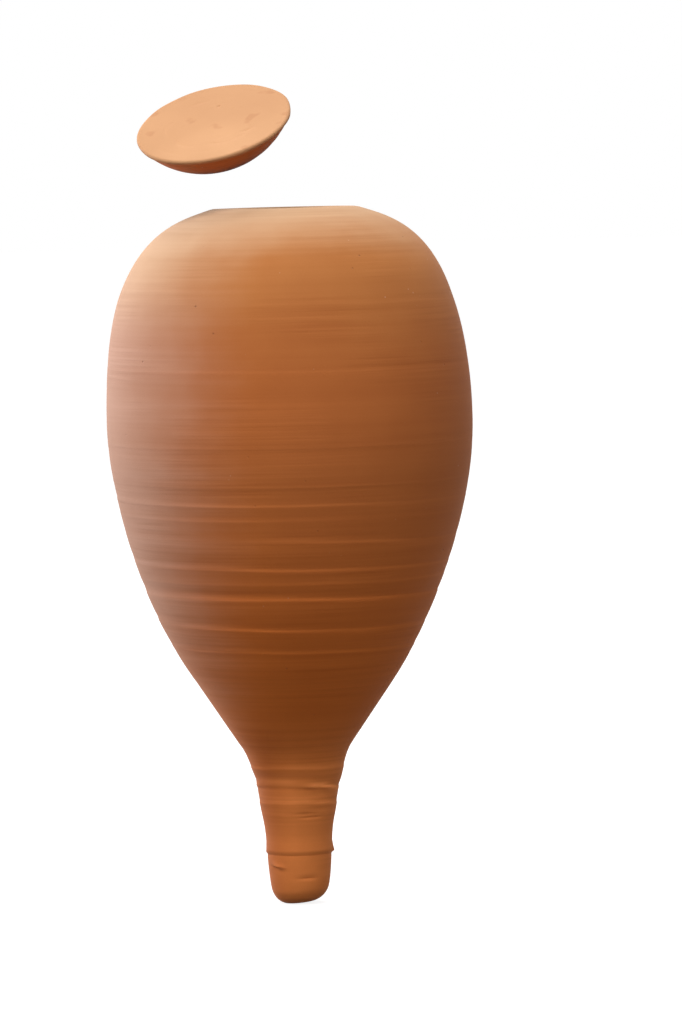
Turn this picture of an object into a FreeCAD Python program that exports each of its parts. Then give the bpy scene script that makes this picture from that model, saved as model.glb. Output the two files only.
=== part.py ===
"""Irrigation olla: a thrown, unglazed clay vessel that is planted by its solid tail, and its small lid.

Millimetres and degrees, +Z up. The origin is the middle of the tail's tip, and the pot's axis is Z.
The pot is one thrown piece, so it is one outline turned about Z. The outline is drawn in the XZ plane:
up the tail, cone, belly and shoulder to the flat lip, down the throat and back along the inside.
Smooth curves give the form, and the wall follows them in straight bands, as the potter's fingers leave it.
The lid is a second piece, lifted off and held tilted above the mouth.
"""
import FreeCAD, Part
import os
from math import cos, radians, sin, tan

from FreeCAD import Placement, Rotation, Vector

# Pot, outside
HEIGHT = 250.0               # tip of the tail to the lip
BELLY_DIAMETER = 132.0       # across the widest place
BELLY_HEIGHT = 172.0         # tip to the widest place
BELLY_FULLNESS = 20.0        # how long the wall stays near upright below the widest place
CONE_FULLNESS = 40.0         # how long the wall keeps the cone's slope on its way up to the belly
CONE_LENGTH = 31.0           # straight slope from the neck to the belly
CONE_ANGLE = 33.5            # of that slope, from upright
SHOULDER_FULLNESS = 70.0     # how long the wall stays near upright above the widest place
SHOULDER_BANDS = 5           # straight bands from the widest place to the lip
LIP_DIAMETER = 54.0          # outer edge of the flat lip
LIP_SLOPE = 27.0             # of the shoulder where it meets the lip, from level
LIP_REACH = 14.0             # how long the shoulder keeps that slope

# Pot, inside
WALL = 5.5
INNER_BELT = 24.0            # height of the upright inside at the widest place
BELLY_TURN = 0.5             # place of the corner inside the belly, as a share of the belly's curve
SHOULDER_TURN = 0.58         # place of the corner inside the shoulder, as a share of its curve
MOUTH_DIAMETER = 44.0        # throat
THROAT_LENGTH = 7.0          # lip to the lower edge of the throat
THROAT_BEVEL = 1.0           # of the throat's upper edge
FLOOR_HEIGHT = 58.0          # tip to the deepest place inside

# Throwing rings on the belly, where two bands meet
LOWEST_RING = 8.5            # height above the straight cone
RING_STEPS = (19.5, 21.7, 19.7)
RING_FREE_HEIGHT = 15.0      # no ring lies closer than this below the widest place

# Tail: each ring's height above the tip and its diameter, from the cut ledge up to the neck
TAIL_RINGS = ((18.8, 23.9), (34.3, 26.7), (42.2, 31.0), (48.4, 33.0))
NECK_RISE = 6.0              # top ring to the foot of the cone
NECK_FLARE = 19.0            # of the tail there, from upright
LEDGE_CUT = 0.9              # depth and half height of the sharp cut under the lowest ring
TIP_DIAMETER = 20.4          # above the bevelled tip
TIP_FLAT_DIAMETER = 13.0     # of the flat that the tip ends in
TIP_HEIGHT = 5.0             # of the bevel

# Lid, which drops into the throat until its bowed underside meets the throat's edge
LID_OVERHANG = 1.1           # of the lid's edge past the lip
LID_EDGE = 1.5               # thickness there
LID_DEPTH = 15.0             # top to underside
LID_SWELL = 1.7              # how far the underside stands out of a straight cone
LID_ENTRY = 11.6             # clearance of the flat underside inside the throat, all round
LID_LIFT = 30.9              # lip to the middle of the lid's top
LID_SHIFT = 24.3             # of the lid to the left of the pot's axis
LID_TILT = 29.4              # of the lid's top
LID_TILT_HEADING = 247.6     # the way its top leans, anticlockwise from +X

AXIS = Vector(0, 0, 1)
CENTRE = Vector(0, 0, 0)


def at(radius, height):
    """Point of an outline."""
    return Vector(radius, 0, height)


def bent(start, end, bulge):
    """Start, middle and end of a stretch whose middle stands out to the right of the way along it."""
    way = (end - start).normalize()
    return [start, (start + end) / 2 + Vector(way.z, 0, -way.x) * bulge, end]


def bezier(*poles):
    """Smooth curve that leaves the first pole towards the second and arrives from the last but one."""
    curve = Part.BezierCurve()
    curve.setPoles(list(poles))
    return curve


def bands(curve, count):
    """Corners of that many straight bands of equal length along a curve."""
    return curve.discretize(Number=count + 1)


def through_wall(curve, share):
    """Point on the inside of the wall, square in from the place at that share of the curve's length."""
    place = curve.parameterAtDistance(share * curve.length())
    way = curve.tangent(place)[0]
    return curve.value(place) + Vector(-way.z, 0, way.x) * WALL


def tail_outline():
    """Bevelled tip, sharp cut under the lowest ring, and the rings above it."""
    rings = [at(diameter / 2, height) for height, diameter in TAIL_RINGS]
    ledge = rings[0]
    cut = ledge - at(LEDGE_CUT, LEDGE_CUT)
    below_cut = ledge - at(LEDGE_CUT / 2, 2 * LEDGE_CUT)
    tip_edge = at(TIP_FLAT_DIAMETER / 2, 0)
    tip_top = at(TIP_DIAMETER / 2, TIP_HEIGHT)
    return [CENTRE, tip_edge, tip_top, below_cut, cut] + rings


def ring_corners(curve, first_height, last_height):
    """Places on a rising curve at the height of each throwing ring."""
    heights = [first_height]
    for step in RING_STEPS:
        if heights[-1] + step < last_height:
            heights.append(heights[-1] + step)
    corners = []
    for height in heights:
        level = Part.LineSegment(at(0, height), at(BELLY_DIAMETER, height))
        crossing = curve.intersectCC(level)[0]
        corners.append(at(crossing.X, crossing.Z))
    return corners


def pot_outline():
    """Corners of the closed half section of the pot."""
    tail = tail_outline()
    neck_foot = tail[-1] + at(NECK_RISE * tan(radians(NECK_FLARE)), NECK_RISE)
    up_cone = at(sin(radians(CONE_ANGLE)), cos(radians(CONE_ANGLE)))
    cone_top = neck_foot + up_cone * CONE_LENGTH
    widest = at(BELLY_DIAMETER / 2, BELLY_HEIGHT)
    lip_edge = at(LIP_DIAMETER / 2, HEIGHT)
    up_lip = at(-cos(radians(LIP_SLOPE)), sin(radians(LIP_SLOPE)))
    mouth = MOUTH_DIAMETER / 2

    belly = bezier(cone_top, cone_top + up_cone * CONE_FULLNESS, widest - at(0, BELLY_FULLNESS), widest)
    shoulder = bezier(widest, widest + at(0, SHOULDER_FULLNESS), lip_edge - up_lip * LIP_REACH, lip_edge)
    outside = tail + [neck_foot]
    outside += ring_corners(belly, cone_top.z + LOWEST_RING, BELLY_HEIGHT - RING_FREE_HEIGHT)
    outside += bands(shoulder, SHOULDER_BANDS)

    cone_foot = through_wall(belly, 0)
    floor_radius = cone_foot.x - (cone_foot.z - FLOOR_HEIGHT) * tan(radians(CONE_ANGLE))
    belt_middle = widest - at(WALL, 0)
    inside = [
        at(mouth + THROAT_BEVEL, HEIGHT),
        at(mouth, HEIGHT - THROAT_BEVEL),
        at(mouth, HEIGHT - THROAT_LENGTH),
        through_wall(shoulder, SHOULDER_TURN),
        belt_middle + at(0, INNER_BELT / 2),
        belt_middle - at(0, INNER_BELT / 2),
        through_wall(belly, BELLY_TURN),
        at(floor_radius, FLOOR_HEIGHT),
        at(0, FLOOR_HEIGHT),
    ]
    return outside + inside


def turned(outline):
    """Solid made by turning a closed half section about Z."""
    return Part.Face(Part.makePolygon(outline + outline[:1])).revolve(CENTRE, AXIS, 360)


def lid():
    """A plate with a bowed underside, modelled with its top at height 0 and then lifted and tilted."""
    radius = LIP_DIAMETER / 2 + LID_OVERHANG
    under_edge = at(MOUTH_DIAMETER / 2 - LID_ENTRY, -LID_DEPTH)
    shape = turned([at(0, -LID_DEPTH)] + bent(under_edge, at(radius, -LID_EDGE), LID_SWELL)
                   + [at(radius, 0), CENTRE])
    hinge = LID_TILT_HEADING + 90
    lean = Rotation(Vector(cos(radians(hinge)), sin(radians(hinge)), 0), LID_TILT)
    shape.Placement = Placement(Vector(-LID_SHIFT, 0, HEIGHT + LID_LIFT), lean)
    return shape


os.makedirs("parts", exist_ok=True)
for name, shape in (("pot_body", turned(pot_outline())), ("lid", lid())):
    shape.exportStep(f"parts/{name}.step")
    box = shape.BoundBox
    print(f"{name}: {shape.ShapeType} valid {shape.isValid()}, volume {shape.Volume / 1000:.1f} ml,"
          f" x {box.XMin:.1f} to {box.XMax:.1f}, y {box.YMin:.1f} to {box.YMax:.1f},"
          f" z {box.ZMin:.1f} to {box.ZMax:.1f}")
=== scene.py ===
# %% [markdown]
# # An irrigation olla in unglazed terracotta
# An olla is a clay water vessel that is planted in the soil: water seeps through its unglazed wall. This
# one is thrown on a wheel in one piece, with a pear-shaped belly and a solid tail, and has a small lid.
# The construction is already modelled, in model.glb. Here each of its two pieces gets a finely shaped
# surface and a fired-clay finish, and then light, floor and camera as in the photograph.

# %% Tools and the fixed frame
from math import cos, pi, radians, sin, sqrt

import bpy
import numpy as np
from mathutils import Matrix, Vector


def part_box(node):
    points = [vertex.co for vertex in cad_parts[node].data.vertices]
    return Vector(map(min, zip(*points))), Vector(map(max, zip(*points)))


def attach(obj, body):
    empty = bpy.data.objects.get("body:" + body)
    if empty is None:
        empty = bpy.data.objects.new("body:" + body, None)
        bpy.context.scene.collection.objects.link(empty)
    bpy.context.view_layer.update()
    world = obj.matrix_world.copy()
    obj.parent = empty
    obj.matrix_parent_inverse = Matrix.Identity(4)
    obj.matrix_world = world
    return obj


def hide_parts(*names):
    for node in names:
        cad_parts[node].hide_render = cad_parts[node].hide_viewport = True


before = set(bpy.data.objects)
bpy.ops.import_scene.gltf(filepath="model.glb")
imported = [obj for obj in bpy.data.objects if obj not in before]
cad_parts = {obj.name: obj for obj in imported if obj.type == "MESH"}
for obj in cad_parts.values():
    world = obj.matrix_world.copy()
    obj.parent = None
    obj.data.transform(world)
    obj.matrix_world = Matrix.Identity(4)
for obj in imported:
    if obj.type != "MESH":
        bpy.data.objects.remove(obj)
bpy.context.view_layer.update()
MM = 0.001

# %% [markdown]
# ## Camera
# The camera stands a little above the lip and far away, so the pot shows almost without perspective. It
# could be placed by hand, but a change of distance would then change the pot's size in the picture. Here
# the lens is worked out from the height that the picture covers at the pot's axis. The pot leans a little
# in the photograph, so the camera is rolled by that angle instead.

# %% Camera
PICTURE_HEIGHT = 0.3670           # real height that the picture covers at the pot's axis
CAMERA_DISTANCE = 2.0
CAMERA_HEIGHT = 0.2675
CAMERA_ROLL = radians(1.4)
LOOK_AT = Vector((0.0176, 0.0, 0.1404))
SENSOR = 36.0                     # millimetres, along the picture's longer side

camera = bpy.data.objects.new("camera", bpy.data.cameras.new("camera"))
bpy.context.scene.collection.objects.link(camera)
bpy.context.scene.camera = camera
camera.data.sensor_width = SENSOR
camera.data.lens = SENSOR * CAMERA_DISTANCE / PICTURE_HEIGHT
drop = CAMERA_HEIGHT - LOOK_AT.z
camera.location = LOOK_AT + Vector((0, -sqrt(CAMERA_DISTANCE ** 2 - drop ** 2), drop))
look = (LOOK_AT - camera.location).to_track_quat("-Z", "Y").to_matrix().to_4x4()
camera.matrix_world = Matrix.Translation(camera.location) @ look @ Matrix.Rotation(-CAMERA_ROLL, 4, "Z")
print("camera lens", round(camera.data.lens, 1), "mm at", tuple(camera.location))

# %% [markdown]
# ## Clay as a grid
# A thrown pot is a profile turned about an axis, and nearly, but not quite, round. Turning a curve with a
# modifier would give a perfect form. A grid of points worked out with numpy is as short to write, and each
# point can also depend on its angle, so the potter's fingers can leave their marks.
# Every ring of points has the same number of places. The first and the last row end in one point on the
# axis, so that the surface is closed.

# %% A closed surface from rows of points
PLACES = 350                      # points round each ring


def closed_surface(name, first_pole, rows, last_pole):
    """Mesh of a stack of rings of points, closed by a fan of triangles at each pole.

    Rows is rows x places x 3, in metres. Each quad joins two neighbours of a row with the two above them.
    """
    count, places = rows.shape[:2]
    points = np.concatenate([[first_pole], rows.reshape(-1, 3), [last_pole]])
    ring = 1 + np.arange(count * places).reshape(count, places)
    after = np.roll(ring, -1, axis=1)
    quads = np.stack([ring[:-1], after[:-1], after[1:], ring[1:]], axis=-1).reshape(-1, 4)
    last = len(points) - 1
    first_fan = np.stack([np.zeros(places, int), after[0], ring[0]], axis=-1)
    last_fan = np.stack([np.full(places, last), ring[-1], after[-1]], axis=-1)
    faces = first_fan.tolist() + quads.tolist() + last_fan.tolist()
    mesh = bpy.data.meshes.new(name)
    mesh.from_pydata(points.tolist(), [], faces)
    mesh.shade_smooth()
    piece = bpy.data.objects.new(name, mesh)
    bpy.context.scene.collection.objects.link(piece)
    print(name, "has", len(points), "points and", 2 * len(quads) + 2 * places, "triangles")
    return piece


# %% [markdown]
# ## The pot's profile
# The outline has the parts that the solid model has: a tail, a flared neck, a straight cone, and two
# smooth curves, one up the belly and one over the shoulder. A spline through many measured points would
# follow every ripple of the photograph. A few Bezier curves, each of four or five poles, stay as smooth as
# thrown clay, and the ripples are added later as what they are. The solid model follows its own curves in
# straight bands.

# %% Curves of the outline, in millimetres
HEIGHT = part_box("pot_body")[1].z / MM
TIP_POLES = ((4.8, 0), (7.2, 0.3), (9.6, 2.3), (10.4, 6))
TAIL_POLES = ((10.4, 6), (12.1, 17), (11.2, 23), (12.9, 31))
NECK_POLES = ((12.9, 31), (14.9, 40), (15.3, 46))
CONE_FOOT = np.array([18.0, 54.4])
CONE_ANGLE = radians(33.9)        # from upright
CONE_LENGTH = 33.0
CONE_REACH = 32.3                 # how long the belly keeps the cone's slope
BELLY_RADIUS = 65.5
BELLY_HEIGHT = 172.9
BELLY_REACH = 24.5                # how long the wall stays near upright below the widest place
SHOULDER_REACH = 70.5             # and above it
LIP_RADIUS = 25.7
LIP_SLOPE = radians(20.7)         # of the shoulder where it meets the lip, from level
LIP_REACH = 12.5                  # how long the shoulder keeps that slope


def bezier(poles, count):
    """Points at even steps of t: neighbouring poles are mixed by (1 - t) and t until one is left."""
    t = np.linspace(0, 1, count)[:, None, None]
    layer = np.repeat(np.array(poles, float)[None], count, axis=0)
    while layer.shape[1] > 1:
        layer = (1 - t) * layer[:, :-1] + t * layer[:, 1:]
    return layer[:, 0]


upright = np.array([0.0, 1.0])
up_cone = np.array([sin(CONE_ANGLE), cos(CONE_ANGLE)])
up_lip = np.array([-cos(LIP_SLOPE), sin(LIP_SLOPE)])
cone_top = CONE_FOOT + up_cone * CONE_LENGTH
widest = np.array([BELLY_RADIUS, BELLY_HEIGHT])
lip_edge = np.array([LIP_RADIUS, HEIGHT])
tip_edge = bezier(TIP_POLES, 20)
tip = np.concatenate([bezier([(0, 0), tip_edge[0]], 8), tip_edge[1:]])
tail = bezier(TAIL_POLES, 30)
neck = bezier([*NECK_POLES, CONE_FOOT, CONE_FOOT + up_cone * 2], 40)
belly = bezier([cone_top, cone_top + up_cone * CONE_REACH, widest - upright * BELLY_REACH, widest], 90)
shoulder = bezier([widest, widest + upright * SHOULDER_REACH, lip_edge - up_lip * LIP_REACH, lip_edge], 90)
outline = np.concatenate([tip, tail[1:], neck[1:], belly, shoulder[1:]])
print("outline of", len(outline), "points, from", outline[0], "to", outline[-1])

# %% [markdown]
# ## Marks of throwing
# A finger that moves up the turning clay leaves a ring: a hollow with a ledge. A ledge that faces up
# catches the light, and one that faces down is a dark line. A bump in the finish would do for a picture, but
# the rings are large enough to feel, so they are shape here. A ring is nearly level, so it has a height at
# the left, at the front and at the right. It is never equally strong all round, so it also has a side where
# it is strongest, and a slow random wave makes it uneven.

# %% Waves, hills and steps
chance = np.random.default_rng(11)
angle = np.linspace(0, 2 * pi, PLACES, endpoint=False)
FRONT = 1.5 * pi                  # angle of the side that the camera sees
RIGHT = 0.0


def wave(slowest, fastest):
    """Sum of sines of whole numbers of turns between the two, with random phases, from about -1 to 1."""
    turns = np.arange(slowest, fastest + 1)[:, None]
    phase = chance.uniform(0, 2 * pi, (len(turns), 1))
    strength = chance.uniform(0.5, 1, (len(turns), 1))
    total = (strength * np.sin(turns * angle + phase)).sum(axis=0)
    return total / np.abs(total).max()


def hill(distance, size):
    """A smooth hill, 1 in its middle: exp(-(distance / size)^2)."""
    return np.exp(-(distance / size) ** 2)


def step(distance, size):
    """A soft step from 0 to 1: (1 + tanh(distance / size)) / 2."""
    return 0.5 + 0.5 * np.tanh(distance / size)


def turn_from(place):
    """Angle from that place to each place on a ring, from -pi to pi."""
    return (angle - place + pi) % (2 * pi) - pi


print(PLACES, "places round a ring, one every", round(360 / PLACES, 2), "degrees")

# %% Throwing rings, in millimetres
# height at the left, front and right; hollow above; hollow below; ridge; its width; angle where strongest
RINGS = (
    (49.4, 50.0, 49.2, 0.26, 0.08, 0.20, 0.8, FRONT + 0.3),
    (43.1, 43.8, 41.0, 1.15, 0.80, 0.75, 0.9, FRONT),
    (36.6, 37.4, 35.9, 0.42, 0.08, 0.20, 0.7, FRONT),
    (82.5, 83.0, 83.0, 0.04, 0.04, 0.05, 0.9, FRONT),
    (94.3, 93.6, 92.8, 0.24, 0.12, 0.15, 0.6, FRONT),
    (103.6, 101.7, 100.8, 0.28, 0.02, 0.15, 0.5, FRONT - 0.6),
    (114.0, 113.2, 111.6, 0.45, 0.00, 0.10, 0.4, FRONT - 0.2),
    (119.0, 118.6, 118.0, 0.09, 0.03, 0.06, 0.5, FRONT + 0.7),
    (125.0, 123.6, 122.6, 0.24, 0.04, 0.14, 0.5, FRONT - 0.4),
    (134.5, 133.9, 131.0, 0.18, 0.02, 0.09, 0.6, FRONT + 0.5),
    (142.0, 141.2, 141.0, 0.07, 0.07, 0.07, 0.6, FRONT - 0.4),
    (147.6, 146.4, 146.0, 0.16, 0.05, 0.13, 0.6, FRONT - 1.0),
    (153.8, 152.9, 152.7, 0.05, 0.13, 0.07, 0.7, FRONT),
    (167.0, 166.8, 166.5, 0.05, 0.09, 0.07, 0.6, FRONT + 0.5),
    (194.4, 193.1, 193.3, 0.09, 0.03, 0.05, 0.6, FRONT - 0.5),
)
HOLLOW_WIDTH = 3.2
LEDGE_WIDTH = 0.35                # over which the hollow below a ring turns into the one above
HIGHLIGHT_WIDTH = 0.45
RING_WAVE = 0.15                  # how far a ring wanders up and down
EVEN_PART = 0.64                  # of a ring's strength all round
SIDE_PART = 0.36                  # more than that where it is strongest, and less across from there
WAVE_PART = 0.08


def height_round(left, front, right):
    """Height round the pot through the three: a level, a lean to one side and a bow to the front."""
    level = (left + right) / 2
    return level + (right - left) / 2 * np.cos(angle) - (front - level) * np.sin(angle)


def ring_marks(heights):
    """How far the rings push the wall out, and how much painted highlight their ledges get, both rows x
    places.

    With t as the height over a ring, the hollow is A hill(t, w) above the ring and B hill(t, w) below it,
    and a step joins the two. The ridge on top is C hill(t, c). The ledge just above it gets a painted
    highlight.
    """
    total = np.zeros((len(heights), PLACES))
    pale = np.zeros_like(total)
    for left, front, right, above, below, ridge, width, strongest in RINGS:
        t = heights[:, None] - (height_round(left, front, right) + RING_WAVE * wave(3, 9))
        strength = EVEN_PART + SIDE_PART * np.cos(angle - strongest) + WAVE_PART * wave(2, 7)
        upper = step(t, LEDGE_WIDTH)
        hollow = hill(t, HOLLOW_WIDTH) * (above * upper + below * (1 - upper))
        total += strength * (ridge * hill(t, width) * (0.8 + 0.2 * wave(4, 16)) - hollow)
        # Painted highlight on the ledge just above the ridge, where it would catch the light.
        pale += strength * ridge * hill(t - HIGHLIGHT_WIDTH, HIGHLIGHT_WIDTH)
    return total, pale


print(len(RINGS), "rings, the deepest", max(max(ring[3:5]) for ring in RINGS), "mm")

# %% [markdown]
# ## Fine lines
# Between the rings, fingers and grains draw faint lines, each only part of the way round. The finish has
# streaks for the finest of them. The wider ones are shallow hollows in the wall. They could be measured one
# by one as the rings are, but nobody would recognise a single one, so their heights are random.

# %% Fine lines of the turning clay
FINE_LINES = 46
FINE_DEPTH = 0.045
LOWEST_LINE = 60.0
LINE_FREE_LIP = 6.0


def fine_marks(heights):
    """Sum of shallow hollows, -D w hill(height - line, size), w being a wave with its lower half cut off."""
    total = np.zeros((len(heights), PLACES))
    for height in chance.uniform(LOWEST_LINE, HEIGHT - LINE_FREE_LIP, FINE_LINES):
        t = heights[:, None] - (height + 0.6 * wave(1, 2))
        here = np.clip(wave(1, 5), 0, 1)
        total -= FINE_DEPTH * here * hill(t, chance.uniform(0.8, 2.2))
    return total


print(FINE_LINES, "fine lines between", LOWEST_LINE, "and", round(HEIGHT - LINE_FREE_LIP, 1), "mm")

# %% [markdown]
# ## Where the rows lie
# A throwing ring is sharp, and the wall between two rings is not. Even rows would be too coarse for the one
# or too many for the other. So the outline is walked at a step that changes with its height, and the rows
# of points lie closest at the rings and at the marks on the tail.

# %% Rows of the outside, closest at the marks
FAR_STEP, NEAR_STEP = 2.4, 0.32
NEAR_REACH = 1.6
CUT_HEIGHTS = (18.1, 18.6, 18.0)  # at the left, front and right, as for a ring
TIP_HEIGHTS = (0.5, 2.0, 4.5)     # of the tip's rounding
MARK_HEIGHTS = (9.9, 14.0, 32.1, 33.8)         # of the scratches and the flap on the tail
WALK_STEPS = 6000


def along(points):
    """Distance from the first point to each point along a line."""
    return np.concatenate([[0], np.cumsum(np.hypot(*np.diff(points, axis=0).T))])


reach = along(outline)
walk = np.linspace(0, reach[-1], WALK_STEPS)
walk_height = np.interp(walk, reach, outline[:, 1])
ring_heights = [sum(ring[:3]) / 3 for ring in RINGS]
sharp_heights = np.array([*TIP_HEIGHTS, *MARK_HEIGHTS, CUT_HEIGHTS[0], *ring_heights])
nearness = hill(walk_height[:, None] - sharp_heights, NEAR_REACH).max(axis=1)
rows_so_far = np.cumsum(walk[1] / (FAR_STEP + (NEAR_STEP - FAR_STEP) * nearness))
row_count = int(rows_so_far[-1])
row_places = np.interp(np.arange(row_count) + 1, rows_so_far, walk)
outer = np.stack([np.interp(row_places, reach, outline[:, k]) for k in (0, 1)], axis=1)
print(row_count, "rows outside")

# %% [markdown]
# ## The tail's own marks
# The tail is rougher than the belly. A tool has cut a ledge under its lowest ring and left a burr of clay
# at the right, a small flap is lifted below the cut, and a few grains have drawn scratches. These could be
# modelled by hand, but each is a single mark at one angle and height, so a small hill or valley there,
# added to the radius, is enough.

# %% Cut and burr on the tail, in millimetres
LEDGE_OUT, LEDGE_FADE = 0.45, 3.0
CUT_DEPTH, CUT_WIDTH = 0.30, 0.35
CRISP = 0.2                       # width of a crisp step
BURR_OUT, BURR_HEIGHT, BURR_WIDTH = 0.80, 19.4, 0.9


def cut_marks(heights):
    """Ledge out above the cut, O step(t) hill(t, f), less the cut itself, D hill(t, w)."""
    t = heights - (height_round(*CUT_HEIGHTS) + 0.10 * wave(3, 7))
    ledge = LEDGE_OUT * step(t, CRISP) * hill(t, LEDGE_FADE)
    return ledge - CUT_DEPTH * (0.85 + 0.15 * wave(1, 6)) * hill(t, CUT_WIDTH)


def burr_marks(heights):
    """One hill at the right: O hill(height, w) hill(turn, 0.14)."""
    return BURR_OUT * hill(heights - BURR_HEIGHT, BURR_WIDTH) * hill(turn_from(RIGHT), 0.14)


print("cut", CUT_DEPTH, "mm deep, burr", BURR_OUT, "mm out")

# %% Flap and scratches on the tail, in millimetres
FLAP_PLACE = FRONT - 0.80
FLAP_HEIGHT, FLAP_FALL = 14.0, 1.7
FLAP_OUT, FLAP_IN, FLAP_WIDTH = 0.85, 0.40, 0.8
SCRATCH_DEPTH, SCRATCH_WIDTH, SCRATCH_FALL = 0.32, 0.36, 0.2
# height; angle from the front; half the angle that it spans
SCRATCHES = ((34.6, 0.60, 0.35), (33.4, 0.20, 0.30), (32.1, 0.35, 0.30), (9.9, 0.25, 0.30))


def flap_marks(heights):
    """Flap, out above its falling line and in below it, each times hill(turn) hill(t); and its painted
    highlight.
    """
    turn = turn_from(FLAP_PLACE)
    t = heights - (FLAP_HEIGHT - FLAP_FALL * turn)
    above = step(t, CRISP)
    flap = hill(turn, 0.25) * hill(t, FLAP_WIDTH) * (FLAP_OUT * above - FLAP_IN * (1 - above))
    # The second part is a painted highlight along the flap's upper edge.
    return flap, 0.5 * hill(turn + 0.06, 0.16) * hill(t - 0.35, 0.4)


def scratch_marks(heights):
    """Sum of valleys, -D hill(t, w) hill(turn, length), t being the height over a slightly tilted line."""
    total = np.zeros((len(heights), PLACES))
    for height, place, length in SCRATCHES:
        t = heights - height - SCRATCH_FALL * turn_from(FRONT)
        total -= SCRATCH_DEPTH * hill(t, SCRATCH_WIDTH) * hill(turn_from(FRONT + place), length)
    return total


print("one flap and", len(SCRATCHES), "scratches")

# %% [markdown]
# ## Out of true
# Hand-thrown clay leans and swells a little. The wall's centre drifts sideways with height, as measured in
# the photograph, and the tip of the tail is cut off at a slant. A bend modifier would lean the whole pot one
# way. Here each row is simply moved by its own few tenths of a millimetre.

# %% Drift of the axis with height, in millimetres
DRIFT_HEIGHTS = (0, 30, 46, 58, 80, 102, 150, 185, 218, 248)
DRIFT_RIGHT = (-0.3, -0.3, -0.1, -0.6, -0.1, -0.3, 0.2, 0.0, -0.6, 0.0)
DRIFT_BACK = (0.0, -0.1, 0.1, 0.2, 0.0, -0.2, 0.1, 0.3, 0.1, 0.0)


def directions(line):
    """Unit direction of a line of points at each of them: its gradient, divided by that one's length."""
    way = np.gradient(line, axis=0)
    return way / np.hypot(*way.T)[:, None]


def pushed_out(profile, push):
    """Radius and height, rows x places, of a profile moved by push square to itself."""
    way = directions(profile)
    return profile[:, :1] + way[:, 1:] * push, profile[:, 1:] - way[:, :1] * push


def turned(profile, push):
    """Rows x places x 3: the profile turned about Z, x = r cos a + drift and y = r sin a + drift."""
    radius, height = pushed_out(profile, push)
    x = radius * np.cos(angle) + np.interp(height, DRIFT_HEIGHTS, DRIFT_RIGHT)
    y = radius * np.sin(angle) + np.interp(height, DRIFT_HEIGHTS, DRIFT_BACK)
    return np.stack([x, y, height], axis=-1)


print("the axis drifts from", min(DRIFT_RIGHT), "to", max(DRIFT_RIGHT), "mm sideways")

# %% The outside with all its marks
MARK_FREE_RADIUS = 10.2           # inside this, near the pole, the marks fade out
MARK_FREE_LIP = 4.0               # and so they do this close to the lip
TIP_SLANT = 0.085
TIP_LOW_SIDE = 5.3                # how far left of the axis the slanted tip keeps its height
SLANT_HEIGHT = 9.0                # up to here the slant is felt

rings, painted_ledge_highlights = ring_marks(outer[:, 1])
fine_lines = fine_marks(outer[:, 1])
outer_height = outer[:, 1:]
cuts = cut_marks(outer_height) + burr_marks(outer_height)
flap, painted_flap_highlight = flap_marks(outer_height)
push = rings + fine_lines + cuts + flap + scratch_marks(outer_height)
fade_at_pole = np.clip(outer[:, :1] / MARK_FREE_RADIUS, 0, 1) ** 8
fade_at_lip = np.clip((HEIGHT - outer_height) / MARK_FREE_LIP, 0, 1)
outside = turned(outer, push * fade_at_pole * fade_at_lip)
near_tip = np.clip(1 - outside[..., 2] / SLANT_HEIGHT, 0, 1)
outside[..., 2] += near_tip * TIP_SLANT * (outside[..., 0] + TIP_LOW_SIDE)
print("marks push the wall out by", round(push.min(), 2), "to", round(push.max(), 2), "mm")

# %% [markdown]
# ## Lip, throat and inside
# The lip is flat, with a softly rounded edge down into the throat. Below it the wall opens out again and
# follows the outside at the wall's thickness, down to a floor where the solid tail begins. A Solidify
# modifier could make that wall, but the tail is solid and the throat is narrower than the shoulder's
# inside, so the profile simply goes on round the lip and down the inside.

# %% Lip, throat and inside, in millimetres
WALL = 5.5
THROAT_RADIUS = 22.0
THROAT_FOOT = HEIGHT - 7
THROAT_FLARE = 1.5                # how much wider the throat is at its foot
LIP_ROUNDING = 1.3
FLOOR_HEIGHT = 58.0
FLOOR_ROUNDING = 5.0
INNER_STRIDE = 6                  # the inside takes every sixth point of the outside's curves
SHOULDER_FIRST, SHOULDER_END = 4, -12          # and leaves out these ends of the shoulder
LIP_DROP = 0.1                    # keeps the uneven lip below the solid model's
LIP_WAVE, LIP_WAVE_REACH = 0.10, 10.0


def through_wall(curve):
    """A curve moved square to itself through the wall: each point plus WALL (-dz, dr)."""
    way = directions(curve)
    return curve + WALL * np.stack([-way[:, 1], way[:, 0]], axis=1)


lip_flat = bezier([(LIP_RADIUS - 0.5, HEIGHT), (THROAT_RADIUS + LIP_ROUNDING, HEIGHT)], 4)
lip_round = bezier([lip_flat[-1], (THROAT_RADIUS, HEIGHT), (THROAT_RADIUS, HEIGHT - LIP_ROUNDING)], 5)
throat_end = (THROAT_RADIUS + THROAT_FLARE, THROAT_FOOT)
throat = bezier([lip_round[-1], (THROAT_RADIUS, THROAT_FOOT + 1), throat_end], 5)
inner_shoulder = through_wall(shoulder[SHOULDER_FIRST:SHOULDER_END:INNER_STRIDE])[::-1]
inner_belly = through_wall(belly[::INNER_STRIDE])[::-1]
above_floor = inner_belly[-1][1] - FLOOR_HEIGHT - FLOOR_ROUNDING
floor_start = inner_belly[-1] - up_cone * above_floor / cos(CONE_ANGLE)
floor = bezier([floor_start, (floor_start[0] - 3.3, FLOOR_HEIGHT), (1.5, FLOOR_HEIGHT)], 7)
inside_profile = np.concatenate([lip_flat, lip_round[1:], throat[1:], inner_shoulder, inner_belly, floor])
lip_wave = LIP_WAVE * wave(1, 4)
inside = turned(inside_profile, np.zeros((len(inside_profile), PLACES)))
near_lip = np.clip(1 - (HEIGHT - inside[..., 2]) / LIP_WAVE_REACH, 0, 1)
inside[..., 2] -= near_lip * (LIP_DROP + lip_wave)
print(len(inside_profile), "rows from the lip to the floor")

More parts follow.
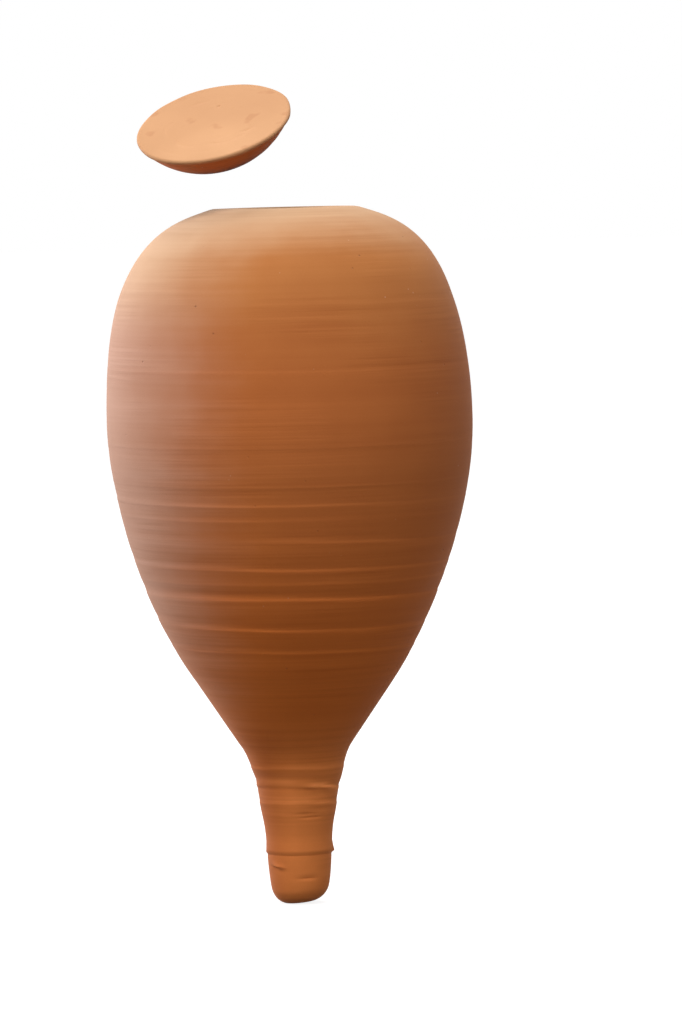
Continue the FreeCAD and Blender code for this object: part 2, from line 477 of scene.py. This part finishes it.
# %% The pot as one closed surface
pot_rows = np.concatenate([outside, inside]) * MM
pot_tip = (0, 0, TIP_SLANT * TIP_LOW_SIDE * MM)
pot = closed_surface("pot_clay", pot_tip, pot_rows, (0, 0, FLOOR_HEIGHT * MM))

# %% [markdown]
# ## Painted highlights on the ledges
# The top of a ledge would catch the light, so it gets a painted highlight, paler than the wall. A finish that
# reads only the height can't know where a ledge wanders. So each point of the pot carries a number that says
# how much painted highlight it gets, from 0 to 1, and the finish reads that.

# %% How much painted highlight each point gets
HIGHLIGHT_GAIN = 1.7
# Painted highlight on the ledges and on the flap's edge, from 0 to 1 at each point.
highlight_paint = np.clip(HIGHLIGHT_GAIN * (painted_ledge_highlights + painted_flap_highlight), 0, 1)
point_highlight_paint = np.zeros(len(pot.data.vertices))
point_highlight_paint[1:1 + highlight_paint.size] = highlight_paint.ravel()
pot.data.attributes.new("painted_ledge_highlight", "FLOAT", "POINT").data.foreach_set("value", point_highlight_paint)
print("pale points:", int((point_highlight_paint > 0.1).sum()))

# %% [markdown]
# ## The lid
# The lid is a round plate with a bowed underside, turned like the pot. Its top is almost flat, with low
# turning marks, three short drag marks and one pit. It could be made where it hangs, but a tilted profile
# is hard to read. So it is made upright, with its top at height 0, and its points are then carried to the
# place and tilt at which it is held above the mouth.

# %% Lid outline, in millimetres
LID_RADIUS = 28.1
LID_EDGE = 1.8                    # thickness at the rim
LID_DEPTH = 14.9
BOWL_FOOT = 9.5                   # radius of the flat that the underside ends in
BOWL_SWELL = 2.0                  # how far the bowl stands out of a straight cone

edge_radius = LID_EDGE / 2
rim_middle = np.array([LID_RADIUS - edge_radius, -edge_radius])
rim_turns = np.linspace(pi / 2, -pi / 2, 9)
rim = rim_middle + edge_radius * np.stack([np.cos(rim_turns), np.sin(rim_turns)], axis=1)
bowl_start = np.array([LID_RADIUS - 0.8, -LID_EDGE])
bowl_run = np.array([BOWL_FOOT, -LID_DEPTH]) - bowl_start
bowl_way = bowl_run / np.hypot(*bowl_run)
share = np.linspace(0, 1, 40)[:, None]
swell = BOWL_SWELL * 4 * share * (1 - share)
bowl = bowl_start + bowl_run * share + swell * np.array([-bowl_way[1], bowl_way[0]])
top_line = np.stack([np.linspace(0.6, rim_middle[0], 50), np.zeros(50)], axis=1)
foot_line = np.stack([np.linspace(BOWL_FOOT - 0.6, 0.6, 9), np.full(9, -LID_DEPTH - 0.05)], axis=1)
lid_profile = np.concatenate([top_line, rim[1:], bowl[1:], foot_line])[::-1]
print(len(lid_profile), "rows on the lid")

# %% Marks on the lid, in millimetres
PIT = (2.5, 11.6)                 # place of the pit on the top, from its middle
PIT_DEPTH, PIT_RADIUS = 0.5, 0.45
TURNING_MARK = 0.62 * LID_RADIUS
TURNING_DEPTH, TURNING_WIDTH = 0.16, 0.8
DRAG_MARKS = ((-0.78, 0.30), (-1.57, 0.22), (-2.51, 0.26))    # angle and depth
DRAG_RADIUS, DRAG_WIDTH, DRAG_LENGTH = 16.6, 0.5, 0.14
FAINT_MARKS, FAINT_DEPTH, FAINT_WIDTH = 9, 0.03, 0.7


def lid_marks(profile):
    """Marks on the lid, rows x places, positive outwards.

    The top has rings -D w hill(r - place, size), w being a wave with its lower half cut off, drag marks
    -D hill(r - place, size) hill(turn, length) and a pit. The rim is uneven by a wave, and the bowl by
    level lines that come and go round it.
    """
    radius, height = profile[:, :1], profile[:, 1:]
    on_top = (height > -0.01) * 1.0
    turning = hill(radius - TURNING_MARK - 0.6 * wave(1, 2), TURNING_WIDTH)
    mark = -TURNING_DEPTH * turning * np.clip(wave(2, 6), 0, 1)
    for place, depth in DRAG_MARKS:
        turn = turn_from(place)
        drag = hill(radius - DRAG_RADIUS - 0.8 * np.sin(9 * turn), DRAG_WIDTH)
        mark = mark - depth * drag * hill(turn, DRAG_LENGTH)
    for place in chance.uniform(4, LID_RADIUS - 3, FAINT_MARKS):
        faint = hill(radius - place - 0.5 * wave(1, 2), FAINT_WIDTH)
        mark = mark - FAINT_DEPTH * faint * np.clip(wave(1, 5), 0, 1)
    x, y = radius * np.cos(angle), radius * np.sin(angle)
    pit = -PIT_DEPTH * hill(np.hypot(x - PIT[0], y - PIT[1]), PIT_RADIUS)
    rim_wave = 0.14 * wave(2, 14) * hill(radius - LID_RADIUS, 1.2)
    lines = 0.05 * wave(1, 3) * np.sin(height * 2.2) * (1 - on_top)
    return on_top * (mark + pit) + rim_wave + lines


lid_radii, lid_heights = pushed_out(lid_profile, lid_marks(lid_profile))
upright_lid = np.stack([lid_radii * np.cos(angle), lid_radii * np.sin(angle), lid_heights], axis=-1) * MM
print("lid radius", round(lid_radii.max(), 2), "mm")

# %% The lid in its place
LID_CENTRE = Vector((-0.0246, 0.0, 0.2809))
LID_TILT = radians(29.4)
LID_HEADING = radians(247.6)      # the way its top leans, anticlockwise from X

hinge = LID_HEADING + pi / 2
lid_tilt = Matrix.Rotation(LID_TILT, 4, Vector((cos(hinge), sin(hinge), 0)))
lid_place = Matrix.Translation(LID_CENTRE) @ lid_tilt
lid_rows = upright_lid @ np.array(lid_place.to_3x3()).T + np.array(LID_CENTRE)
lid_foot = lid_place @ Vector((0, 0, -LID_DEPTH * MM))
lid = closed_surface("lid_clay", tuple(lid_foot), lid_rows, tuple(LID_CENTRE))

# %% [markdown]
# ## Shader maths as Python
# The clay's finish mixes many patterns. Built in the node editor it would be a large net of wires, and
# written node by node it would be long. So one small class wraps a node's output: sums and products of it
# add the Math nodes, and one method adds any other node.

# %% A socket that can be added and multiplied


class Flow:
    """A value, vector or colour that flows through a material's nodes."""

    def __init__(self, tree, socket):
        self.tree = tree
        self.socket = socket

    def node(self, kind, settings=None, output=0, **inputs):
        """Any node: its settings are set first, then its inputs, each a number, a tuple or a Flow.

        An input is named with _ for a space, or by its number as i0, i1 and so on.
        """
        made = self.tree.nodes.new(kind)
        for name, value in (settings or {}).items():
            setattr(made, name, value)
        for name, value in inputs.items():
            key = int(name[1:]) if name[0] == "i" and name[1:].isdigit() else name.replace("_", " ")
            if isinstance(value, Flow):
                self.tree.links.new(value.socket, made.inputs[key])
            else:
                made.inputs[key].default_value = value
        return Flow(self.tree, made.outputs[output])

    def math(self, operation, first, second):
        return self.node("ShaderNodeMath", {"operation": operation}, i0=first, i1=second)

    def __add__(self, other):
        return self.math("ADD", self, other)

    def __radd__(self, other):
        return self.math("ADD", other, self)

    def __sub__(self, other):
        return self.math("SUBTRACT", self, other)

    def __rsub__(self, other):
        return self.math("SUBTRACT", other, self)

    def __mul__(self, other):
        return self.math("MULTIPLY", self, other)

    def __rmul__(self, other):
        return self.math("MULTIPLY", other, self)

    def larger(self, other):
        return self.math("MAXIMUM", self, other)

    def scaled(self, factors):
        """A vector or colour with each of its three parts times its own factor."""
        return self.node("ShaderNodeVectorMath", {"operation": "MULTIPLY"}, i0=self, i1=factors)

    def between(self, low, high):
        """0 below low, 1 above high and smooth in between."""
        return self.node("ShaderNodeMapRange", {"interpolation_type": "SMOOTHSTEP"},
                         Value=self, From_Min=low, From_Max=high)

    def mix(self, start, end):
        """A colour from start, where this value is 0, to end, where it is 1."""
        return self.node("ShaderNodeMix", {"data_type": "RGBA"}, output=2, i0=self, i6=start, i7=end)


print("shader maths is ready")

# %% [markdown]
# ## Fired clay
# Unglazed terracotta is matt and never one colour. The wheel has drawn its unevenness into long level
# streaks, and the bare clay shows grains, a few pits and soft blotches. A picture of clay wrapped round the
# pot would show a seam and blur close up. Noise does neither, and where its space is squeezed it is drawn
# out into streaks that run round the pot. Everything reads Object coordinates, in metres, so nothing slides
# when the camera moves.

# %% Patterns of the clay
STREAK_ACROSS, STREAK_UP = 5.0, 200.0          # waves to the metre
THREAD_ACROSS, THREAD_UP = 14.0, 800.0
PATCH_ACROSS, PATCH_UP = 20.0, 60.0            # of the patches that have threads


def streaks(place, across, up, detail):
    """Noise drawn out sideways: across and up are how many waves it has to the metre each way."""
    squeezed = place.scaled((across, across, up))
    return place.node("ShaderNodeTexNoise", Vector=squeezed, Scale=1.0, Detail=detail, Roughness=0.6)


def noise(place, scale, detail, roughness=0.5):
    """Even noise: scale is how many waves it has to the metre."""
    return place.node("ShaderNodeTexNoise", Vector=place, Scale=scale, Detail=detail, Roughness=roughness)


def axis_of(place, number):
    """One coordinate of a place: 0 for X, 1 for Y, 2 for Z."""
    return place.node("ShaderNodeSeparateXYZ", output=number, Vector=place)


print("a streak is", round(1000 / STREAK_UP, 1), "mm high, and a thread", round(1000 / THREAD_UP, 2), "mm")

# %% Matt fired clay
DARKER = (0.80, 0.74, 0.66)       # than the plain colour, part by part
LIGHTER = (1.18, 1.25, 1.32)
# Painted highlight: how much paler the tops of the ledges are painted, part by part.
LEDGE_HIGHLIGHT_PAINT = (1.50, 1.75, 2.10)
STREAK_TONE, THREAD_TONE, BLOTCH_TONE, GRAIN_TONE = 0.30, 0.50, 0.40, 0.12
DARK_SPECK = (0.150, 0.055, 0.028, 1)
PALE_SPECK = (0.700, 0.480, 0.340, 1)
BUMP_HEIGHT = 0.0006
STREAK_BUMP, THREAD_BUMP, GRAIN_BUMP, PIT_BUMP = 0.06, 0.12, 0.05, 0.25
ROUGHNESS, ROUGHNESS_SPREAD = 0.72, 0.25


def clay(name, place_of, colour_of):
    """Matt fired clay. place_of gives the space of its pattern, and colour_of its plain colour there."""
    material = bpy.data.materials.new(name)
    material.use_nodes = True
    tree = material.node_tree
    surface = tree.nodes["Principled BSDF"]
    place = place_of(Flow(tree, tree.nodes.new("ShaderNodeTexCoord").outputs["Object"]))

    blotch = noise(place, 26.0, 3.0, 0.55)
    streak = streaks(place, STREAK_ACROSS, STREAK_UP, 3.0)
    thread = streaks(place, THREAD_ACROSS, THREAD_UP, 2.0)
    patch = streaks(place, PATCH_ACROSS, PATCH_UP, 1.0).between(0.40, 0.62)
    grain = noise(place, 1700.0, 3.0, 0.7)
    cells = place.node("ShaderNodeTexVoronoi", Vector=place, Scale=260.0)
    chosen = noise(place, 90.0, 1.0)
    pits = (1 - cells.between(0.05, 0.14)) * chosen.between(0.62, 0.68)
    specks = (1 - cells.between(0.03, 0.10)) * (1 - chosen.between(0.33, 0.38))

    tone = (streak - 0.5) * STREAK_TONE + (thread - 0.5) * patch * THREAD_TONE
    tone = tone + (blotch - 0.5) * BLOTCH_TONE + (grain - 0.5) * GRAIN_TONE
    plain = colour_of(place, (blotch - 0.5) + (streak - 0.5) * 0.5)
    colour = (0.5 + tone).between(0.0, 1.0).mix(plain.scaled(DARKER), plain.scaled(LIGHTER))
    # Painted highlight: the tops of the ledges are painted paler, where they would catch the light.
    ledge = place.node("ShaderNodeAttribute", {"attribute_name": "painted_ledge_highlight"}, output="Fac")
    colour = (ledge * (0.35 + streak * 0.5)).mix(colour, plain.scaled(LEDGE_HIGHLIGHT_PAINT))
    colour = (pits * 0.4).mix(colour, DARK_SPECK)
    colour = (specks * 0.4).mix(colour, PALE_SPECK)
    height = streak * STREAK_BUMP + thread * patch * THREAD_BUMP + grain * GRAIN_BUMP - pits * PIT_BUMP
    bump = place.node("ShaderNodeBump", Strength=1.0, Distance=BUMP_HEIGHT, Height=height)
    tree.links.new(colour.socket, surface.inputs["Base Color"])
    roughness = ROUGHNESS + (blotch - 0.5) * ROUGHNESS_SPREAD
    tree.links.new(roughness.socket, surface.inputs["Roughness"])
    tree.links.new(bump.socket, surface.inputs["Normal"])
    surface.inputs["Specular IOR Level"].default_value = 0.12
    surface.inputs["Sheen Weight"].default_value = 0.06
    surface.inputs["Sheen Roughness"].default_value = 0.5
    print(name, "has", len(tree.nodes), "nodes")
    return material


# %% [markdown]
# ## Colour of the pot
# The pot is a deep orange brown, redder on the cone. The tail is painted lighter, to make up for the shade
# that the belly casts on it, and the left side of the tail is painted darker, as painted shade. The clay near
# the mouth and up the left side is painted pale, a painted sheen where the lamps' light glances off it. The
# colours could be painted by hand, but they change with height and side alone, so each step is a soft range
# of Z or X. The blotches and streaks move the borders of those ranges, so that no border is a clean line.

# %% Pot finish
# The tail is painted lighter, to make up for the belly's shade on it; its left side is painted darker, as
# painted shade.
TAIL_CLAY_PAINTED_LIGHTER = (0.800, 0.247, 0.065, 1)
TAIL_LEFT_PAINTED_SHADE = (0.480, 0.130, 0.030, 1)
LOW_CLAY = (0.640, 0.165, 0.028, 1)
BELLY_CLAY = (0.500, 0.148, 0.038, 1)
TOP_CLAY = (0.490, 0.184, 0.053, 1)
# Painted sheen: pale colours near the mouth and up the left side, where the lamps' light glances off the
# clay.
MOUTH_PAINTED_SHEEN = (0.540, 0.325, 0.185, 1)
LEFT_PAINTED_SHEEN = (0.550, 0.312, 0.232, 1)
TOP_LEFT_PAINTED_SHEEN = (0.570, 0.365, 0.235, 1)
LEFT_PAINTED_SHEEN_STRENGTH = 0.85


def upright_space(place):
    """The pot's own space: it stands upright at the origin."""
    return place


def pot_colour(place, unevenness):
    """By height from the tail to the mouth, with painted light and shade on the tail and a painted sheen on
    the left side and near the mouth.
    """
    side, height = axis_of(place, 0), axis_of(place, 2)
    # Painted shade on the left side of the tail.
    tail_painted_light_and_shade = (-1 * side).between(0.001, 0.013).mix(TAIL_CLAY_PAINTED_LIGHTER, TAIL_LEFT_PAINTED_SHADE)
    colour = height.between(0.040, 0.075).mix(tail_painted_light_and_shade, LOW_CLAY)
    colour = height.between(0.070, 0.165).mix(colour, BELLY_CLAY)
    colour = (height + unevenness * 0.02).between(0.185, 0.245).mix(colour, TOP_CLAY)
    # Painted sheen near the mouth.
    colour = (height + unevenness * 0.01).between(0.230, 0.252).mix(colour, MOUTH_PAINTED_SHEEN)
    # Painted sheen up the left side, reaching further round near the mouth.
    near_mouth = height.between(0.220, 0.248) * 0.022
    left = (near_mouth - side + unevenness * 0.02).between(0.010, 0.064)
    painted_sheen = height.between(0.200, 0.235).mix(LEFT_PAINTED_SHEEN, TOP_LEFT_PAINTED_SHEEN)
    return (left * LEFT_PAINTED_SHEEN_STRENGTH).mix(colour, painted_sheen)


pot.data.materials.append(clay("pot_terracotta", upright_space, pot_colour))

# %% [markdown]
# ## Colour of the lid
# The lid is pale on the top. Its bowl is painted lighter orange near the rim, as painted light, and darker
# down to a nearly black foot, as painted shade. It has a few brown smudges. Its pattern has to lie level with
# its top and not with the floor. Turning the object would do that, but every object stays at the origin, so a
# Mapping node turns the pattern.

# %% Lid finish
LID_TOP_CLAY = (0.545, 0.286, 0.143, 1)
# Painted light near the rim of the bowl, and painted shade at its foot.
LID_BOWL_PAINTED_LIGHT = (0.560, 0.150, 0.036, 1)
LID_FOOT_PAINTED_SHADE = (0.085, 0.026, 0.009, 1)
LID_SMUDGE = (0.400, 0.165, 0.070, 1)


def lid_space(place):
    """The lid's own upright space, with its top at height 0."""
    return place.node("ShaderNodeMapping", {"vector_type": "TEXTURE"}, Vector=place,
                      Location=tuple(LID_CENTRE), Rotation=tuple(lid_place.to_euler("XYZ")))


def lid_colour(place, unevenness):
    """By height from the foot to the top, with painted shade towards the foot and painted light near the rim,
    and smudges.
    """
    height = axis_of(place, 2) + unevenness * 0.001
    # Painted shade: the bowl darkens to nearly black at its foot.
    colour = height.between(-0.0140, -0.0045).mix(LID_FOOT_PAINTED_SHADE, LID_BOWL_PAINTED_LIGHT)
    colour = height.between(-0.003, 0.0).mix(colour, LID_TOP_CLAY)
    smudges = noise(place, 105.0, 2.0).between(0.60, 0.70)
    return (smudges * 0.35).mix(colour, LID_SMUDGE)


lid.data.materials.append(clay("lid_terracotta", lid_space, lid_colour))

# %% [markdown]
# ## Put both pieces in the frame
# Each piece rides on the one body of this part. The solids could stay and take the new finish, but their
# straight bands would show, so they are hidden.

# %% Pieces on the body, with the solids that they dress hidden
for piece, node, slot in ((pot, "pot_body", "terracotta"), (lid, "lid", "terracotta_lid")):
    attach(piece, "root")
    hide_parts(node)

# %% [markdown]
# ## Floor and white surroundings
# In the photograph the pot stands free on white. A floor that is lit until it is white would also light the
# pot's underside, so the floor is white only to the camera and to reflections, and dark to all other light.
# The world does the same. The white floor is part paint and part glow, so it keeps a faint shadow of the pot.

# %% Floor
FLOOR_SIZE = 30.0
FLOOR_GREY = (0.36, 0.36, 0.36, 1)
FLOOR_GLOW = 0.85
FLOOR_DARK = (0.04, 0.03, 0.02, 1)
WHITE = (1, 1, 1, 1)


def camera_or_gloss(tree):
    """1 for rays from the camera, reflections and transmission, 0 for diffuse light."""
    path = tree.nodes.new("ShaderNodeLightPath")
    sees, shines, passes = (Flow(tree, path.outputs[kind]) for kind in
                            ("Is Camera Ray", "Is Glossy Ray", "Is Transmission Ray"))
    return sees.larger(shines).larger(passes)


half = FLOOR_SIZE / 2
corners = [(-half, -half, 0), (half, -half, 0), (half, half, 0), (-half, half, 0)]
floor_mesh = bpy.data.meshes.new("floor")
floor_mesh.from_pydata(corners, [], [(0, 1, 2, 3)])
floor_plane = bpy.data.objects.new("floor", floor_mesh)
bpy.context.scene.collection.objects.link(floor_plane)
floor_paint = bpy.data.materials.new("floor_white")
floor_paint.use_nodes = True
floor_tree = floor_paint.node_tree
floor_tree.nodes.clear()
seen = camera_or_gloss(floor_tree)
grey = seen.node("ShaderNodeBsdfDiffuse", Color=FLOOR_GREY)
glow = seen.node("ShaderNodeEmission", Color=WHITE, Strength=FLOOR_GLOW)
bright = seen.node("ShaderNodeAddShader", i0=grey, i1=glow)
dark = seen.node("ShaderNodeBsdfDiffuse", Color=FLOOR_DARK)
floor_shader = seen.node("ShaderNodeMixShader", i0=seen, i1=dark, i2=bright)
floor_output = floor_tree.nodes.new("ShaderNodeOutputMaterial")
floor_tree.links.new(floor_shader.socket, floor_output.inputs["Surface"])
floor_mesh.materials.append(floor_paint)
print("floor of", FLOOR_SIZE, "m")

# %% World
AMBIENT = (1.0, 0.97, 0.93, 1)
AMBIENT_STRENGTH = 0.46

world = bpy.data.worlds.new("studio")
bpy.context.scene.world = world
world.use_nodes = True
world_tree = world.node_tree
world_seen = camera_or_gloss(world_tree)
world_colour = world_seen.mix(AMBIENT, WHITE)
world_strength = world_seen * (1 - AMBIENT_STRENGTH) + AMBIENT_STRENGTH
background = world_tree.nodes["Background"]
world_tree.links.new(world_colour.socket, background.inputs["Color"])
world_tree.links.new(world_strength.socket, background.inputs["Strength"])
print("world strength", AMBIENT_STRENGTH, "for diffuse light")

# %% [markdown]
# ## Light
# The photograph is lit from above by one large soft light, a little in front and to the left. A strong
# light behind the left edge rims the pot with pale light, and the belly turns dark below, where it faces
# down. A second light, high up behind the pot, brightens the top of the lid and the far side. One at the
# left joins the rim to the front, and a weak one in front opens the shade on the tail. A single lamp with a
# bright world would be simpler, but it loses the pale rim. Each lamp is given by where it stands as seen
# from the pot: how far round from the camera, and how high up.

# %% Lamps
LAMP_DISTANCE = 2.0
POT_MIDDLE = Vector((0, 0, 0.15))
KEY_TINT = (1.0, 0.98, 0.95)
SIDE_TINT = (1.0, 0.98, 0.96)
WARM_TINT = (1.0, 0.95, 0.88)


def soft_light(name, round_from_camera, up, size, watts, tint):
    """A square lamp aimed at the pot's middle. Angles are in degrees, round is positive to the right."""
    side, rise = radians(round_from_camera), radians(up)
    way = Vector((sin(side) * cos(rise), -cos(side) * cos(rise), sin(rise)))
    lamp = bpy.data.lights.new(name, "AREA")
    lamp.shape = "SQUARE"
    lamp.size = size
    lamp.energy = watts
    lamp.color = tint
    carrier = bpy.data.objects.new(name, lamp)
    carrier.location = POT_MIDDLE + way * LAMP_DISTANCE
    carrier.rotation_mode = "QUATERNION"
    carrier.rotation_quaternion = (-way).to_track_quat("-Z", "Y")
    bpy.context.scene.collection.objects.link(carrier)
    print(name, watts, "W at", tuple(round(v, 2) for v in carrier.location))


soft_light("key_light", -28, 60, 1.0, 25, KEY_TINT)
soft_light("back_light", 180, 65, 1.2, 18, SIDE_TINT)
soft_light("left_light", -95, 4, 1.2, 13, SIDE_TINT)
soft_light("rim_light", -130, 9, 1.2, 27, SIDE_TINT)
soft_light("front_light", 0, 12, 1.0, 6, WARM_TINT)
bpy.context.scene.view_settings.view_transform = "Standard"
